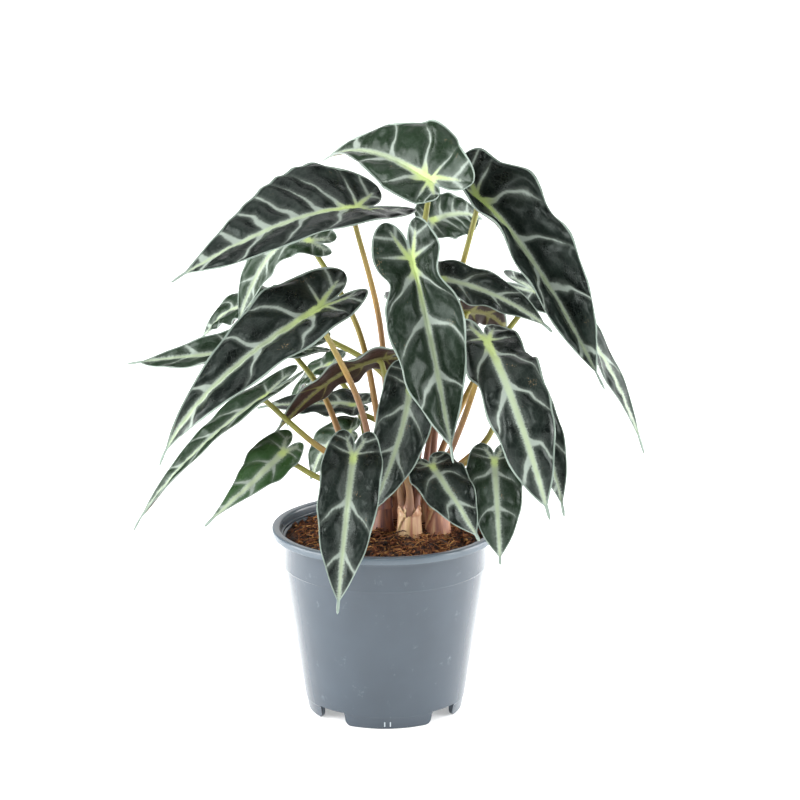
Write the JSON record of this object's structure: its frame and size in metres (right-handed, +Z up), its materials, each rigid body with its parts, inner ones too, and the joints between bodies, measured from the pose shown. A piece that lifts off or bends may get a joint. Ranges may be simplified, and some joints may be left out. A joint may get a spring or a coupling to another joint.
{
  "type": "potted alocasia",
  "caption": "Potted alocasia: a clump of dark, pale-veined arrow-shaped leaves on long arching stalks, growing from sheathed shoots in a round footed nursery pot.",
  "frame": {"origin": "on the pot's axis, in the plane that the pot's feet stand on", "axes": "+Z up along the pot's axis, -Y towards the viewer of the picture, +X to the viewer's right"},
  "size_m": [0.2774, 0.178, 0.319],
  "materials": {
    "pot_plastic": "satin moulded grey-blue plastic",
    "potting_soil": "rough, crumbly coir and bark",
    "shoot_sheath": "dull, papery, striped along its length",
    "petiole": "satin, smooth, fleshy",
    "leaf_blade": "satin, waxy, with pale raised veins"
  },
  "bodies": {
    "root": {"pot": "pot_plastic", "soil": "potting_soil", "shoot_left": "shoot_sheath", "shoot_middle": "shoot_sheath", "shoot_right": "shoot_sheath", "shoot_back_left": "shoot_sheath", "shoot_back_right": "shoot_sheath", "shoot_outer_left": "shoot_sheath", "petiole_top": "petiole", "blade_top": "leaf_blade", "petiole_upper_left": "petiole", "blade_upper_left": "leaf_blade", "petiole_upper_right": "petiole", "blade_upper_right": "leaf_blade", "petiole_centre_front": "petiole", "blade_centre_front": "leaf_blade", "petiole_left_front": "petiole", "blade_left_front": "leaf_blade", "petiole_right_front": "petiole", "blade_right_front": "leaf_blade", "petiole_right_behind": "petiole", "blade_right_behind": "leaf_blade", "petiole_rim_front": "petiole", "blade_rim_front": "leaf_blade", "petiole_middle_low": "petiole", "blade_middle_low": "leaf_blade", "petiole_rim_middle": "petiole", "blade_rim_middle": "leaf_blade", "petiole_rim_right": "petiole", "blade_rim_right": "leaf_blade", "petiole_young_left": "petiole", "blade_young_left": "leaf_blade", "petiole_pale_left": "petiole", "blade_pale_left": "leaf_blade", "petiole_far_left": "petiole", "blade_far_left": "leaf_blade", "petiole_back_left": "petiole", "blade_back_left": "leaf_blade", "petiole_rear_left": "petiole", "blade_rear_left": "leaf_blade", "petiole_rear_right": "petiole", "blade_rear_right": "leaf_blade", "petiole_maroon_back": "petiole", "blade_maroon_back": "leaf_blade", "petiole_inner_left": "petiole", "blade_inner_left": "leaf_blade", "petiole_inner_right": "petiole", "blade_inner_right": "leaf_blade", "petiole_olive_right": "petiole", "blade_olive_right": "leaf_blade", "petiole_top_back": "petiole", "blade_top_back": "leaf_blade", "petiole_pale_inner": "petiole", "blade_pale_inner": "leaf_blade", "petiole_lower_back": "petiole", "blade_lower_back": "leaf_blade", "petiole_rear_high": "petiole", "blade_rear_high": "leaf_blade"}
  },
  "joints": []
}
